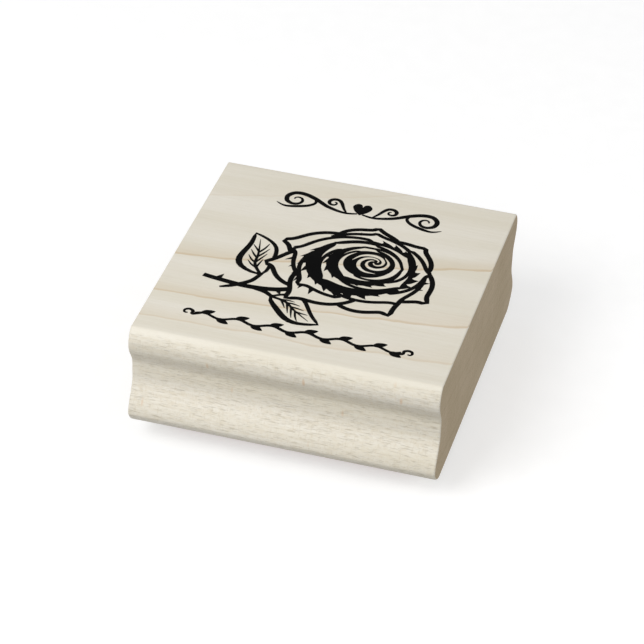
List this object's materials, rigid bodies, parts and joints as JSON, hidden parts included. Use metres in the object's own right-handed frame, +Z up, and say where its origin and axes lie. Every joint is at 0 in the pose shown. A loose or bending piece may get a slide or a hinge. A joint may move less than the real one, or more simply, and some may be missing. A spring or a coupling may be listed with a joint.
{
  "type": "rubber stamp",
  "caption": "Wood-mounted rubber art stamp: grooved maple block, foam cushion and engraved rubber die, with a rose printed on top.",
  "frame": {"origin": "under the middle of the block, on the plane of the raised rubber, where the stamp stands on paper", "axes": "+X along the grain, to the right as the printed picture is read; +Y towards the picture's top edge, across the grooved sides; +Z up"},
  "size_m": [0.0676, 0.0726, 0.0297],
  "materials": {
    "maple": "sanded, unvarnished",
    "adhesive": "double-sided film",
    "foam": "closed-cell foam, matt",
    "rubber": "laser-engraved, matt",
    "ink": "dry printing ink, matt"
  },
  "bodies": {
    "block": {"wood_block": "maple", "block_adhesive": "adhesive", "foam_cushion": "foam", "rose_print": "ink", "upper_ornament_print": "ink", "lower_ornament_print": "ink"},
    "die": {"die_adhesive": "adhesive", "rubber_die": "rubber"}
  },
  "joints": [
    {"name": "die_press", "type": "slide", "parent": "block", "child": "die", "axis": [0, 0, 1], "range_m": [0, 0.0008], "stiffness_N_per_m": 60000, "deforming": ["foam_cushion"]}
  ]
}
